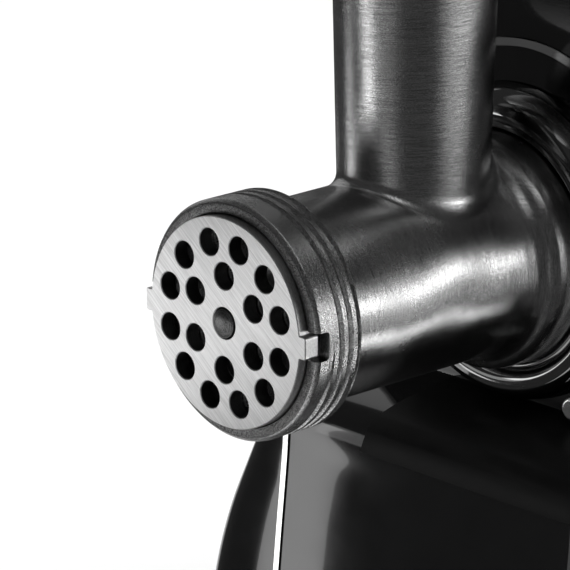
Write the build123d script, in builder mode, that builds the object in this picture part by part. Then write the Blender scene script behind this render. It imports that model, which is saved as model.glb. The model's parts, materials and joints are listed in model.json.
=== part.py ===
"""Electric meat grinder, front facing -Y, standing on the XY plane. Millimetres."""

import os
from math import acos, cos, pi, radians, sin, tan

from build123d import *

os.makedirs("parts", exist_ok=True)

# ---------------------------------------------------------------- overall layout
AXIS_Z = 205.0  # height of the screw axis above the table
RIM = -147.0  # Y of the barrel's front rim; every head and body depth is counted from it
FACE = RIM + 118.0  # Y of the flat part of the front panel
BACK = RIM + 298.0  # Y of the body's rear face
BODY_BASE = 7.0
SKIN = 3.0  # wall thickness of the plastic body
SEAM = RIM + 262.0  # Y of the joint between housing and rear cover

# ---------------------------------------------------------------- grinding head
PLATE_R = 31.0
PLATE_THICK = 5.0
PLATE_PROUD = 3.0  # the loose plate stands this far out of the rim
PLATE_HOLE_R = 4.0
OUTER_HOLES_R = 23.6
INNER_HOLES_R = 13.95
PLATE_CENTRE_R = 4.6
LUG_REACH = 33.3
LUG_WIDE = 6.7
SLOT_WIDE = 8.4
SLOT_DEEP = 4.5
LAND_R = 35.4
THREAD_PITCH = 3.6
THREAD_START = RIM + 5.6
THREAD_LONG = 10.8
BARREL_R = 30.3
BORE_R = 26.6
SPIGOT_R = 36.2
SPIGOT_END = RIM + 126.0
TUBE_Y = RIM + 73.0
TUBE_HALF_X = 19.65  # half-widths of the feed tube at the height of the axis
TUBE_HALF_Y = 24.15
TUBE_DRAFT = 0.0244  # half-width gained per mm of height
TUBE_TOP = AXIS_Z + 115.0
TUBE_WALL = 3.0

# ---------------------------------------------------------------- screw and knife
FLIGHT_R = 26.1
FLIGHT_PITCH = 27.0
FLIGHT_START = RIM + 13.0
FLIGHT_LONG = 88.0
SQUARE = 9.6
PIN_R = 4.2
KNIFE_Y = RIM + 2.4
KNIFE_REACH = 26.0

# ---------------------------------------------------------------- drive train
IDLER_Z = AXIS_Z - 52.5
MOTOR_Z = AXIS_Z - 88.5
SLOW_MODULE = 1.75
FAST_MODULE = 1.0
SLOW_GEAR_Y = RIM + 143.0
SLOW_GEAR_WIDE = 14.0
FAST_GEAR_Y = RIM + 161.0
FAST_GEAR_WIDE = 8.0
CASE_Y = RIM + 134.0
CASE_LONG = 40.0
COVER_Y = CASE_Y + CASE_LONG
MOTOR_Y = COVER_Y + 4.0
MOTOR_LONG = 62.0
MOTOR_R = 42.0

# ---------------------------------------------------------------- front panel and controls
PANEL_HALF = 59.6
TRIM_WIDE = 2.2
COLLAR_R = 49.3
BUTTON_R = 11.0
BUTTON_Z = AXIS_Z - 122.0
BUTTON_X = 21.0
BUTTON_FRONT = RIM + 70.5
RELEASE_X = 31.6
RELEASE_Z = AXIS_Z - 44.6
RELEASE_R = 3.8

# ---------------------------------------------------------------- base
FEET = (
    ("foot_front_left", -66.0, RIM + 98.0),
    ("foot_front_right", 66.0, RIM + 98.0),
    ("foot_rear_left", -66.0, RIM + 270.0),
    ("foot_rear_right", 66.0, RIM + 270.0),
)

screw_axis = Axis((0, 0, AXIS_Z), (0, 1, 0))


def front_plane(y, z=AXIS_Z, x=0.0):
    """Plane seen from the front: local x is X, local y is Z, normal is -Y."""
    return Plane(origin=(x, y, z), x_dir=(1, 0, 0), z_dir=(0, -1, 0))


def side_plane(z=AXIS_Z, x=0.0):
    """Plane through an axis along Y: local x is Y, local y is Z, normal is +X."""
    return Plane(origin=(x, 0, z), x_dir=(0, 1, 0), z_dir=(1, 0, 0))


def save(builder, name):
    builder.part.label = name
    export_step(builder.part, f"parts/{name}.step")


def turned(points, z=AXIS_Z, x=0.0):
    """Solid of revolution about an axis along Y, from (Y, radius) corners."""
    with BuildPart() as body:
        with BuildSketch(side_plane(z, x)):
            with BuildLine():
                Polyline(*points, close=True)
            make_face()
        revolve(axis=Axis((x, 0, z), (0, 1, 0)))
    return body.part


def tube_section(z, wall=0.0):
    """Half-widths of the drafted oval feed tube at a height."""
    grow = TUBE_DRAFT * (z - AXIS_Z)
    return TUBE_HALF_X + grow - wall, TUBE_HALF_Y + grow - wall


def oval_loft(low_z, high_z, low_half, high_half, y):
    """Upright solid between two ovals, given as (half X, half Y)."""
    with BuildPart() as body:
        with BuildSketch(Plane((0, y, low_z))):
            Ellipse(low_half[0], low_half[1])
        with BuildSketch(Plane((0, y, high_z))):
            Ellipse(high_half[0], high_half[1])
        loft()
    return body.part


def gear_outline(module, teeth, turn):
    """Edges of a spur gear with involute flanks, to be used inside BuildLine."""
    pressure = radians(25)
    backlash = 0.2
    pitch_r = module * teeth / 2
    base_r = pitch_r * cos(pressure)
    tip_r = pitch_r + module
    root_r = pitch_r - 1.25 * module
    foot_r = max(base_r, root_r)

    def involute(r):
        angle = acos(min(1.0, base_r / r))
        return tan(angle) - angle

    half = pi / (2 * teeth) - backlash / (2 * pitch_r) + tan(pressure) - pressure
    middle_r = (foot_r + tip_r) / 2
    step = 2 * pi / teeth

    def at(r, angle):
        return (r * cos(angle), r * sin(angle))

    for number in range(teeth):
        centre = turn + number * step
        foot = half - involute(foot_r)
        middle = half - involute(middle_r)
        tip = half - involute(tip_r)
        if foot_r > root_r:
            Line(at(root_r, centre - foot), at(foot_r, centre - foot))
            Line(at(foot_r, centre + foot), at(root_r, centre + foot))
        ThreePointArc(at(foot_r, centre - foot), at(middle_r, centre - middle), at(tip_r, centre - tip))
        ThreePointArc(at(tip_r, centre - tip), at(tip_r, centre), at(tip_r, centre + tip))
        ThreePointArc(at(tip_r, centre + tip), at(middle_r, centre + middle), at(foot_r, centre + foot))
        gap = step / 2
        ThreePointArc(
            at(root_r, centre + foot),
            at(root_r, centre + gap),
            at(root_r, centre + step - foot),
        )


def save_coil(name, y, length, radius, z, x):
    """Compression spring along Y, as a round wire on a helix."""
    with BuildPart() as coil:
        with BuildLine(mode=Mode.PRIVATE) as wire:
            Helix(1.2, length, radius, center=(x, y, z), direction=(0, 1, 0))
        with BuildSketch(Plane(origin=wire.line @ 0, z_dir=wire.line % 0)):
            Circle(0.4)
        sweep(path=wire.line, is_frenet=True)
    save(coil, name)


# level above the screw axis, front and back counted from RIM, half width, corner, slope factor of the wall
BODY_LEVELS = (
    (-212, 64, 289, 105.0, 16, 1.0, 1.0),
    (-150, 71.5, 294, 101.5, 16, 1.0, 1.0),
    (-118, 74.5, 296, 97.0, 15, 1.0, 1.0),
    (-98, 76.5, 296, 91.5, 14, 1.1, 1.0),
    (-84, 78, 296, 86.2, 14, 1.1, 1.0),
    (-74, 79, 296, 82.4, 14, 1.1, 1.0),
    (-66, 79.6, 296, 79.9, 14, 1.0, 1.1),
    (-60, 81.5, 296, 78.3, 14, 1.0, 1.6),
    (-56, 86, 296, 77.4, 14, 1.0, 3.2),
    (-53, 97, 296, 76.9, 14, 1.0, 5.5),
    (-51, 110, 296, 76.5, 15, 1.0, 3.6),
    (-49.8, 118, 296, 76.4, 15, 1.0, 1.0),
    (-25, 118, 296, 75, 15, 1.0, 1.0),
    (15, 118, 294, 74.5, 16, 1.0, 1.0),
    (45, 118.5, 288, 71, 18, 1.0, 1.0),
    (62, 122, 278, 63, 20, 1.2, 1.2),
    (73, 129, 266, 52, 22, 1.6, 1.6),
    (79, 139, 250, 38.0, 22, 2.0, 2.0),
    (81, 152, 232, 22.0, 16, 2.0, 2.0),
)


def body_form(inset):
    """Outer shape of the motor body, lofted through level sections and drawn inward by inset."""
    with BuildPart() as form:
        for level, front, back, half, corner, slope, front_slope in BODY_LEVELS:
            drop = inset if level > 60 else 0
            wall = inset * slope
            near = front + inset * front_slope
            far = back - wall
            with BuildSketch(Plane((0, RIM + (near + far) / 2, AXIS_Z + level - drop))):
                RectangleRounded(2 * (half - wall), far - near, corner - inset)
        loft(ruled=True)
    return form.part


# ================================================================ grinding head
bore_turn = (
    (RIM - 1, 0),
    (RIM - 1, PLATE_R + 0.3),
    (RIM + 6, PLATE_R + 0.3),
    (RIM + 6, 29.2),
    (RIM + 11, 29.2),
    (RIM + 13, BORE_R),
    (RIM + 110, BORE_R),
    (RIM + 110, 11.6),
    (RIM + 118, 11.6),
    (RIM + 118, 32.0),
    (SPIGOT_END + 1, 32.0),
    (SPIGOT_END + 1, 0),
)
with BuildPart() as grinding_head:
    with BuildSketch(side_plane()):
        with BuildLine():
            Polyline(
                (SPIGOT_END, SPIGOT_R),
                (SPIGOT_END, 0),
                (RIM, 0),
                (RIM, 34.2),
                (RIM + 1.2, LAND_R),
                (RIM + 17.0, LAND_R),
                (RIM + 17.8, 34.2),
                (RIM + 18.2, BARREL_R),
                (RIM + 86, BARREL_R + 0.4),
            )
            ThreePointArc((RIM + 86, BARREL_R + 0.4), (RIM + 93.5, 31.8), (RIM + 97, 34.6))
            ThreePointArc((RIM + 97, 34.6), (RIM + 98.6, 35.8), (RIM + 101, SPIGOT_R))
            Line((RIM + 101, SPIGOT_R), (SPIGOT_END, SPIGOT_R))
        make_face()
    revolve(axis=screw_axis)
    barrel_edges = grinding_head.edges()
    add(oval_loft(AXIS_Z, TUBE_TOP, tube_section(AXIS_Z), tube_section(TUBE_TOP), TUBE_Y))
    seam = (grinding_head.edges() - barrel_edges).filter_by(lambda e: AXIS_Z + 5 < e.center().Z < AXIS_Z + 60)
    fillet(seam, radius=3.0)
    # hollow barrel, with the tube opening into it
    add(turned(bore_turn), mode=Mode.SUBTRACT)
    inside = tube_section(AXIS_Z, TUBE_WALL)
    inside_top = tube_section(TUBE_TOP + 1, TUBE_WALL)
    add(oval_loft(AXIS_Z, TUBE_TOP + 1, inside, inside_top, TUBE_Y), mode=Mode.SUBTRACT)
    # two slots for the plate's lugs
    with BuildSketch(front_plane(RIM - 1)):
        Rectangle(90, SLOT_WIDE)
        Rectangle(60, SLOT_WIDE + 2, mode=Mode.SUBTRACT)
    extrude(amount=-(SLOT_DEEP + 1), mode=Mode.SUBTRACT)
    # bayonet lugs on the rear spigot
    with BuildSketch(front_plane(SPIGOT_END - 6)):
        Circle(38.6)
        Circle(SPIGOT_R - 1, mode=Mode.SUBTRACT)
        Rectangle(90, 16, mode=Mode.INTERSECT)
    extrude(amount=-5)
    # outside thread for the retaining nut
    with BuildLine(mode=Mode.PRIVATE) as thread_path:
        Helix(THREAD_PITCH, THREAD_LONG, LAND_R, center=(0, THREAD_START, AXIS_Z), direction=(0, 1, 0))
    thread_at = thread_path.line @ 0
    outward = (thread_at.X, 0, thread_at.Z - AXIS_Z)
    with BuildSketch(Plane(origin=thread_at, x_dir=outward, z_dir=thread_path.line % 0)):
        with BuildLine():
            Polyline((0.5, -1.2), (0.5, 1.2), (-1.3, 0.35), (-1.3, -0.35), close=True)
        make_face()
    sweep(path=thread_path.line, is_frenet=True, mode=Mode.SUBTRACT)
save(grinding_head, "grinding_head")

# ================================================================ cutting set and screw
with BuildPart() as hole_plate:
    with BuildSketch(front_plane(RIM - PLATE_PROUD)):
        Circle(PLATE_R)
        with Locations((LUG_REACH - 3, 0), (3 - LUG_REACH, 0)):
            RectangleRounded(6, LUG_WIDE, 0.9)
        Circle(PLATE_CENTRE_R, mode=Mode.SUBTRACT)
        with PolarLocations(OUTER_HOLES_R, 12, start_angle=15):
            Circle(PLATE_HOLE_R, mode=Mode.SUBTRACT)
        with PolarLocations(INNER_HOLES_R, 6, start_angle=30):
            Circle(PLATE_HOLE_R, mode=Mode.SUBTRACT)
    extrude(amount=-PLATE_THICK)
    chamfer(hole_plate.faces().sort_by(Axis.Y)[0].outer_wire().edges(), length=0.35)
save(hole_plate, "hole_plate")

with BuildSketch() as blade:
    with BuildLine():
        lead = ThreePointArc((6, -3.5), (16, -4.6), (KNIFE_REACH - 1.2, -7.5))
        tip = Line(lead @ 1, (KNIFE_REACH - 0.1, 1.5))
        trail = ThreePointArc(tip @ 1, (17, 4.6), (6, 6.5))
        Line(trail @ 1, lead @ 0)
    make_face()

with BuildPart() as knife:
    with BuildSketch(front_plane(KNIFE_Y)):
        with PolarLocations(0, 4, start_angle=20):
            add(blade.sketch)
        Circle(9.5)
    extrude(amount=-4.5)
    with BuildSketch(front_plane(KNIFE_Y + 4.5)):
        Circle(9.5)
    extrude(amount=-2.5)
    with BuildSketch(front_plane(KNIFE_Y)):
        Rectangle(SQUARE + 0.1, SQUARE + 0.1)
    extrude(amount=-7, mode=Mode.SUBTRACT)
save(knife, "knife")

with BuildPart() as screw_stub:
    with BuildSketch(side_plane()):
        with BuildLine():
            dome = ThreePointArc((RIM - 4.4, 0), (RIM - 4.2, 2.4), (RIM - 3.4, PIN_R))
            Polyline(dome @ 1, (KNIFE_Y, PIN_R), (KNIFE_Y, 0), dome @ 0)
        make_face()
    revolve(axis=screw_axis)
    with BuildSketch(front_plane(KNIFE_Y - 0.1)):
        RectangleRounded(SQUARE, SQUARE, 0.6)
    extrude(amount=-24)
save(screw_stub, "screw_stub")

core_turn = (
    (RIM + 10.0, 0),
    (RIM + 10.0, 10.5),
    (RIM + 14.0, 11.5),
    (RIM + 90.0, 15.5),
    (RIM + 103.0, 18.0),
    (RIM + 103.0, 24.0),
    (RIM + 108.0, 24.0),
    (RIM + 108.0, 9.0),
    (RIM + 121.0, 9.0),
    (RIM + 121.0, 0),
)
with BuildPart() as screw:
    add(turned(core_turn))
    with BuildLine(mode=Mode.PRIVATE) as flight_path:
        Helix(FLIGHT_PITCH, FLIGHT_LONG, 17.0, center=(0, FLIGHT_START, AXIS_Z), direction=(0, 1, 0))
    flight_at = flight_path.line @ 0
    flight_out = (flight_at.X, 0, flight_at.Z - AXIS_Z)
    with BuildSketch(Plane(origin=flight_at, x_dir=flight_out, z_dir=flight_path.line % 0)):
        with BuildLine():
            Polyline((-8, -2.6), (-8, 2.6), (9.0, 1.5), (9.0, -1.5), close=True)
        make_face()
    sweep(path=flight_path.line, is_frenet=True)
    envelope = ((RIM + 10, 0), (RIM + 10, FLIGHT_R), (RIM + 121, FLIGHT_R), (RIM + 121, 0))
    add(turned(envelope), mode=Mode.INTERSECT)
    with BuildSketch(front_plane(RIM + 9)):
        Rectangle(SQUARE + 0.1, SQUARE + 0.1)
    extrude(amount=-18.5, mode=Mode.SUBTRACT)
save(screw, "screw")

with BuildPart() as screw_coupling:
    with BuildSketch(front_plane(RIM + 121)):
        RegularPolygon(9.4, 6, major_radius=False)
    extrude(amount=-11)
    chamfer(screw_coupling.faces().sort_by(Axis.Y)[-1].edges(), length=1.2)
    with BuildSketch(front_plane(RIM + 131)):
        Circle(3.2)
    extrude(amount=-2, mode=Mode.SUBTRACT)
save(screw_coupling, "screw_coupling")

with BuildPart() as head_bush:
    flange = ((RIM + 108.3, 9.06), (RIM + 108.3, 22), (RIM + 110, 22))
    sleeve = ((RIM + 110, 11.6), (RIM + 118, 11.6), (RIM + 118, 9.06))
    add(turned(flange + sleeve))
save(head_bush, "head_bush")

# ================================================================ socket on the body
with BuildPart() as head_socket:
    add(turned((
        (RIM + 112, SPIGOT_R + 0.4),
        (RIM + 112, 43.0),
        (RIM + 125, 43.0),
        (RIM + 125, 49.2),
        (CASE_Y, 49.2),
        (CASE_Y, 30.0),
        (RIM + 127, 30.0),
        (RIM + 127, 39.2),
        (RIM + 119, 39.2),
        (RIM + 119, SPIGOT_R + 0.4),
    )))
    with BuildSketch(front_plane(RIM + 111)):
        with Locations((0, 37), (0, -37)):
            Rectangle(17.5, 4.4)
    extrude(amount=-9, mode=Mode.SUBTRACT)
save(head_socket, "head_socket")

with BuildPart() as collar_ring:
    with BuildSketch(side_plane()):
        with BuildLine():
            outer = ThreePointArc((FACE - 0.4, COLLAR_R), (FACE - 6.5, 48.4), (RIM + 107.4, 44.0))
            inner = ThreePointArc(outer @ 1, (RIM + 107.3, 40.6), (RIM + 109.2, 38.4))
            bead = ThreePointArc(inner @ 1, (RIM + 108.9, 37.3), (RIM + 109.8, SPIGOT_R + 0.5))
            Polyline(
                bead @ 1,
                (RIM + 111.8, SPIGOT_R + 0.5),
                (RIM + 111.8, 43.2),
                (FACE + 4, 43.2),
                (FACE + 4, 44.8),
                (FACE - 0.4, 44.8),
                outer @ 0,
            )
        make_face()
    revolve(axis=screw_axis)
save(collar_ring, "collar_ring")

# ================================================================ plastic body
with BuildPart() as outer_body:
    add(body_form(0))
    with Locations((0, 0, BODY_BASE)):
        Box(400, 600, 60, align=(Align.CENTER, Align.CENTER, Align.MAX), mode=Mode.SUBTRACT)
outer_form = outer_body.part
inner_form = body_form(SKIN)


def arch(half):
    """Face of the arch-topped front panel: a half circle on a straight-sided leg."""
    Circle(half)
    with Locations((0, -100)):
        Rectangle(2 * half, 200)


with BuildPart() as front_panel:
    with BuildSketch(front_plane(RIM + 30)):
        arch(PANEL_HALF)
        with Locations((0, -250)):
            Rectangle(200, 120, mode=Mode.SUBTRACT)
        Circle(45.2, mode=Mode.SUBTRACT)
        with Locations((-BUTTON_X, BUTTON_Z - AXIS_Z), (BUTTON_X, BUTTON_Z - AXIS_Z)):
            Circle(BUTTON_R + 1.6, mode=Mode.SUBTRACT)
        with Locations((RELEASE_X, RELEASE_Z - AXIS_Z)):
            Circle(RELEASE_R + 1.0, mode=Mode.SUBTRACT)
    extrude(amount=-105)
    add(outer_form, mode=Mode.INTERSECT)
    add(inner_form, mode=Mode.SUBTRACT)
save(front_panel, "front_panel")

with BuildPart() as panel_trim:
    with BuildSketch(front_plane(RIM + 30)):
        arch(PANEL_HALF + 0.2 + TRIM_WIDE)
        arch_inside = PANEL_HALF + 0.2
        Circle(arch_inside, mode=Mode.SUBTRACT)
        with Locations((0, -105)):
            Rectangle(2 * arch_inside, 210, mode=Mode.SUBTRACT)
        with Locations((0, -250)):
            Rectangle(200, 120, mode=Mode.SUBTRACT)
    extrude(amount=-105)
    add(body_form(-0.7), mode=Mode.INTERSECT)
    add(body_form(SKIN - 0.6), mode=Mode.SUBTRACT)
save(panel_trim, "panel_trim")

with BuildPart() as main_housing:
    add(outer_form)
    add(inner_form, mode=Mode.SUBTRACT)
    with Locations((0, SEAM + 50, AXIS_Z)):
        Box(300, 100, 500, mode=Mode.SUBTRACT)
    with BuildSketch(front_plane(RIM + 30)):
        arch(PANEL_HALF + 0.4 + TRIM_WIDE)
        with Locations((0, -250)):
            Rectangle(200, 120, mode=Mode.SUBTRACT)
    extrude(amount=-105, mode=Mode.SUBTRACT)
save(main_housing, "main_housing")

with BuildPart() as rear_cover:
    add(outer_form)
    add(inner_form, mode=Mode.SUBTRACT)
    with Locations((0, SEAM + 0.2 - 200, AXIS_Z)):
        Box(300, 400, 500, mode=Mode.SUBTRACT)
    with BuildSketch(front_plane(BACK + 10)):
        with Locations((0, -45)):
            with GridLocations(0, 9, 1, 9):
                RectangleRounded(84, 3.6, 1.7)
        with Locations((42, -160)):
            Circle(8.2)
    extrude(amount=25, mode=Mode.SUBTRACT)
save(rear_cover, "rear_cover")

with BuildPart() as base_plate:
    add(body_form(SKIN + 0.3))
    with Locations((0, 0, BODY_BASE + 3.4)):
        Box(300, 400, 4.0, align=(Align.CENTER, Align.CENTER, Align.MIN), mode=Mode.INTERSECT)
    with Locations((0, RIM + 205, BODY_BASE)):
        with GridLocations(12, 0, 7, 1):
            Box(4, 60, 20, mode=Mode.SUBTRACT)
    with Locations(*[(x, y, BODY_BASE) for _, x, y in FEET]):
        Cylinder(1.8, 20, mode=Mode.SUBTRACT)
save(base_plate, "base_plate")

with BuildPart() as base_screws:
    with Locations(*[(x, y, 1.8) for _, x, y in FEET]):
        Cylinder(3.2, 2.2, align=(Align.CENTER, Align.CENTER, Align.MIN))
        Cylinder(1.7, 12.4, align=(Align.CENTER, Align.CENTER, Align.MIN))
save(base_screws, "base_screws")

for foot_name, foot_x, foot_y in FEET:
    with BuildPart() as foot:
        with Locations((foot_x, foot_y, 0)):
            Cone(10, 12, 10.4, align=(Align.CENTER, Align.CENTER, Align.MIN))
            Cylinder(3.4, 4, align=(Align.CENTER, Align.CENTER, Align.MIN), mode=Mode.SUBTRACT)
            Cylinder(1.8, 20, mode=Mode.SUBTRACT, align=(Align.CENTER, Align.CENTER, Align.MIN))
        fillet(foot.faces().sort_by(Axis.Z)[0].outer_wire().edges(), radius=1.2)
    save(foot, foot_name)

# ================================================================ gearbox
def case_outline(wall):
    """Smooth outline round the three gear axes."""
    with BuildSketch(mode=Mode.PRIVATE) as outline:
        Circle(46 + wall)
        with Locations((0, IDLER_Z - AXIS_Z)):
            Circle(34 + wall)
        with Locations((0, MOTOR_Z - AXIS_Z)):
            Circle(18 + wall)
        make_hull()
    return outline.sketch


case_screws = ((-44, 30), (44, 30), (-40, -42), (40, -42))
with BuildPart() as gearbox_case:
    with BuildSketch(front_plane(CASE_Y)):
        add(case_outline(4))
        with Locations(*case_screws):
            Circle(6)
    extrude(amount=-CASE_LONG)
    with BuildSketch(front_plane(CASE_Y + 4)):
        add(case_outline(0))
        with Locations(*case_screws):
            Circle(4.4, mode=Mode.SUBTRACT)
    extrude(amount=-CASE_LONG, mode=Mode.SUBTRACT)
    with BuildSketch(front_plane(CASE_Y)):
        Circle(11)
        with Locations((0, IDLER_Z - AXIS_Z)):
            Circle(4)
    extrude(amount=-4, mode=Mode.SUBTRACT)
    with BuildSketch(front_plane(CASE_Y + CASE_LONG - 16)):
        with Locations(*case_screws):
            Circle(1.9)
    extrude(amount=-17, mode=Mode.SUBTRACT)
save(gearbox_case, "gearbox_case")

with BuildPart() as gearbox_cover:
    with BuildSketch(front_plane(COVER_Y)):
        add(case_outline(4))
        with Locations(*case_screws):
            Circle(6)
            Circle(2.2, mode=Mode.SUBTRACT)
        Circle(11, mode=Mode.SUBTRACT)
        with Locations((0, IDLER_Z - AXIS_Z)):
            Circle(4, mode=Mode.SUBTRACT)
        with Locations((0, MOTOR_Z - AXIS_Z)):
            Circle(8, mode=Mode.SUBTRACT)
    extrude(amount=-4)
save(gearbox_cover, "gearbox_cover")

with BuildPart() as gearbox_screws:
    with BuildSketch(front_plane(COVER_Y + 4)):
        with Locations(*case_screws):
            Circle(3.5)
    extrude(amount=-2.6)
    with BuildSketch(front_plane(COVER_Y + 4)):
        with Locations(*case_screws):
            Circle(1.85)
    extrude(amount=16)
save(gearbox_screws, "gearbox_screws")

with BuildPart() as output_front_bush:
    sleeve = ((CASE_Y, 8.05), (CASE_Y, 11), (CASE_Y + 4, 11))
    flange = ((CASE_Y + 4, 14), (CASE_Y + 6, 14), (CASE_Y + 6, 8.05))
    add(turned(sleeve + flange))
save(output_front_bush, "output_front_bush")

with BuildPart() as output_rear_bush:
    flange = ((COVER_Y - 2, 8.05), (COVER_Y - 2, 14), (COVER_Y, 14))
    sleeve = ((COVER_Y, 11), (COVER_Y + 6, 11), (COVER_Y + 6, 8.05))
    add(turned(flange + sleeve))
save(output_rear_bush, "output_rear_bush")

with BuildPart() as drive_socket:
    add(turned((
        (RIM + 118.4, 0),
        (RIM + 118.4, 14.0),
        (CASE_Y - 0.4, 14.0),
        (CASE_Y - 0.4, 8.0),
        (COVER_Y + 5, 8.0),
        (COVER_Y + 5, 0),
    )))
    with BuildSketch(front_plane(RIM + 118)):
        RegularPolygon(9.55, 6, major_radius=False)
    extrude(amount=-14.5, mode=Mode.SUBTRACT)
save(drive_socket, "drive_socket")

with BuildPart() as output_gear:
    with BuildSketch(front_plane(SLOW_GEAR_Y)):
        with BuildLine():
            gear_outline(SLOW_MODULE, 48, 0)
        make_face()
        Circle(8.02, mode=Mode.SUBTRACT)
        with PolarLocations(24.5, 6):
            Circle(6, mode=Mode.SUBTRACT)
    extrude(amount=-SLOW_GEAR_WIDE)
save(output_gear, "output_gear")

with BuildPart() as idler_gear:
    with BuildSketch(front_plane(SLOW_GEAR_Y - 0.5, IDLER_Z)):
        with BuildLine():
            gear_outline(SLOW_MODULE, 12, pi / 12)
        make_face()
    extrude(amount=-(FAST_GEAR_Y - SLOW_GEAR_Y + 0.5))
    with BuildSketch(front_plane(FAST_GEAR_Y, IDLER_Z)):
        with BuildLine():
            gear_outline(FAST_MODULE, 60, 0)
        make_face()
    extrude(amount=-FAST_GEAR_WIDE)
    with BuildSketch(front_plane(CASE_Y, IDLER_Z)):
        Circle(4.05)
    extrude(amount=-60, mode=Mode.SUBTRACT)
save(idler_gear, "idler_gear")

with BuildPart() as idler_axle:
    with BuildSketch(front_plane(CASE_Y, IDLER_Z)):
        Circle(4)
    extrude(amount=-(CASE_LONG + 4))
save(idler_axle, "idler_axle")

# ================================================================ motor
with BuildPart() as motor_shaft:
    with BuildSketch(front_plane(FAST_GEAR_Y - 6, MOTOR_Z)):
        Circle(3)
    extrude(amount=-(MOTOR_LONG + 38))
save(motor_shaft, "motor_shaft")

with BuildPart() as motor_pinion:
    with BuildSketch(front_plane(FAST_GEAR_Y - 1, MOTOR_Z)):
        with BuildLine():
            gear_outline(FAST_MODULE, 12, pi / 12)
        make_face()
        Circle(3, mode=Mode.SUBTRACT)
    extrude(amount=-(FAST_GEAR_WIDE + 2))
save(motor_pinion, "motor_pinion")

with BuildPart() as motor_front_bracket:
    with BuildSketch(front_plane(MOTOR_Y, MOTOR_Z)):
        Circle(MOTOR_R - 2)
        Circle(6.1, mode=Mode.SUBTRACT)
        with PolarLocations(24, 4, start_angle=45):
            Circle(7, mode=Mode.SUBTRACT)
    extrude(amount=-6)
save(motor_front_bracket, "motor_front_bracket")

with BuildPart() as motor_rear_bracket:
    with BuildSketch(front_plane(MOTOR_Y + MOTOR_LONG - 6, MOTOR_Z)):
        Circle(MOTOR_R - 2)
        Circle(6.1, mode=Mode.SUBTRACT)
        with PolarLocations(25, 4, start_angle=45):
            Circle(7, mode=Mode.SUBTRACT)
    extrude(amount=-6)
save(motor_rear_bracket, "motor_rear_bracket")

for bush_name, bush_y in (("motor_front_bush", MOTOR_Y), ("motor_rear_bush", MOTOR_Y + MOTOR_LONG - 6)):
    with BuildPart() as motor_bush:
        with BuildSketch(front_plane(bush_y, MOTOR_Z)):
            Circle(6.1)
            Circle(3.05, mode=Mode.SUBTRACT)
        extrude(amount=-6)
    save(motor_bush, bush_name)

with BuildPart() as motor_stator:
    with BuildSketch(front_plane(MOTOR_Y + 6, MOTOR_Z)):
        Circle(MOTOR_R)
        Rectangle(2 * MOTOR_R - 10, 100, mode=Mode.INTERSECT)
        Circle(22.6, mode=Mode.SUBTRACT)
        with Locations((0, 0)):
            Rectangle(22, 62, mode=Mode.SUBTRACT)
    extrude(amount=-36)
save(motor_stator, "motor_stator")

with BuildPart() as field_coils:
    with BuildSketch(front_plane(MOTOR_Y + 7, MOTOR_Z)):
        with Locations((0, 26.8), (0, -26.8)):
            RectangleRounded(20, 7.6, 2)
    extrude(amount=-34)
save(field_coils, "field_coils")

with BuildPart() as armature:
    with BuildSketch(front_plane(MOTOR_Y + 8, MOTOR_Z)):
        Circle(21.5)
        with PolarLocations(19, 12):
            Rectangle(6.5, 2.2, mode=Mode.SUBTRACT)
        Circle(3, mode=Mode.SUBTRACT)
    extrude(amount=-32)
save(armature, "armature")

with BuildPart() as commutator:
    with BuildSketch(front_plane(MOTOR_Y + 41, MOTOR_Z)):
        Circle(10.5)
        with PolarLocations(10.3, 12):
            Rectangle(1.6, 0.6, mode=Mode.SUBTRACT)
        Circle(3, mode=Mode.SUBTRACT)
    extrude(amount=-13.5)
save(commutator, "commutator")

for side_name, side in (("left", -1), ("right", 1)):
    with BuildPart() as brush:
        with BuildSketch(front_plane(MOTOR_Y + 45, MOTOR_Z)):
            with Locations((side * 15.0, 0)):
                Rectangle(8.4, 6)
        extrude(amount=-6)
    save(brush, f"carbon_brush_{side_name}")
    with BuildPart() as brush_holder:
        with BuildSketch(front_plane(MOTOR_Y + 43, MOTOR_Z)):
            with Locations((side * 21.5, 0)):
                Rectangle(18, 10)
        extrude(amount=-13)
        with BuildSketch(front_plane(MOTOR_Y + 45, MOTOR_Z)):
            with Locations((side * 15.0, 0)):
                Rectangle(8.4, 6)
        extrude(amount=-6, mode=Mode.SUBTRACT)
    save(brush_holder, f"brush_holder_{side_name}")

with BuildSketch() as fan_blade:
    with Locations((17, 0)):
        Rectangle(22, 1.8)
with BuildPart() as cooling_fan:
    with BuildSketch(front_plane(MOTOR_Y + MOTOR_LONG + 3, MOTOR_Z)):
        Circle(28)
        Circle(3, mode=Mode.SUBTRACT)
    extrude(amount=-2)
    with BuildSketch(front_plane(MOTOR_Y + MOTOR_LONG + 5, MOTOR_Z)):
        with PolarLocations(0, 9):
            add(fan_blade.sketch)
        Circle(8)
        Circle(3, mode=Mode.SUBTRACT)
    extrude(amount=-12)
save(cooling_fan, "cooling_fan")

with BuildPart() as motor_cradle:
    with BuildSketch(front_plane(MOTOR_Y + 8, MOTOR_Z)):
        with Locations((0, -52)):
            Rectangle(76, 50)
        with Locations((0, BODY_BASE + 7.4 - MOTOR_Z - 50)):
            Rectangle(200, 100, mode=Mode.SUBTRACT)
        Circle(MOTOR_R, mode=Mode.SUBTRACT)
        with Locations((0, -66)):
            Rectangle(46, 30, mode=Mode.SUBTRACT)
    extrude(amount=-32)
save(motor_cradle, "motor_cradle")

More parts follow.
